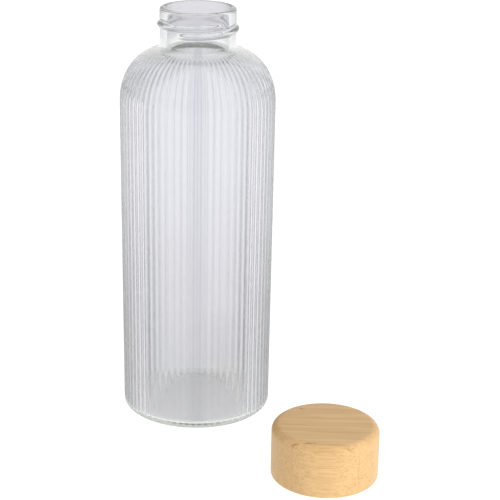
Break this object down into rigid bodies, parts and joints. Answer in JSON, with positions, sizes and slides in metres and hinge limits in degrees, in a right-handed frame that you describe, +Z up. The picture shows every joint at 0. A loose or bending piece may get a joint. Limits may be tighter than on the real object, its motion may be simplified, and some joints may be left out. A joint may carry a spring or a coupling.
{
  "type": "glass water bottle",
  "caption": "Tall clear glass water bottle with fine vertical ribs, a smooth threaded neck, and a short round bamboo screw lid standing beside it.",
  "frame": {"origin": "on the standing surface, under the middle of the bounding box of bottle and lid together", "axes": "+Z up along the bottle's axis; +X to the right and -Y to the front, the lid stands front right"},
  "size_m": [0.1328, 0.1578, 0.2203],
  "materials": {
    "clear_glass": "clear soda-lime glass with fine vertical ribs, smooth neck, faint green tint in the thick base",
    "bamboo": "laminated bamboo, turned and sanded, thin clear satin lacquer",
    "liner_plastic": "moulded polypropylene, natural white, satin",
    "silicone": "translucent white silicone, matte"
  },
  "bodies": {
    "bottle": {"glass_bottle": "clear_glass"},
    "seal": {"seal_ring": "silicone"},
    "lid": {"bamboo_cap": "bamboo", "thread_liner": "liner_plastic"}
  },
  "joints": [
    {"name": "lid_lift", "type": "slide", "parent": "bottle", "child": "seal", "axis": [0, 0, 1], "range_m": [0, 0.25]},
    {"name": "lid_turn", "type": "hinge", "parent": "seal", "child": "lid", "pos_m": [0.03923, -0.05178, 0], "axis": [0, 0, 1], "continuous": true}
  ]
}
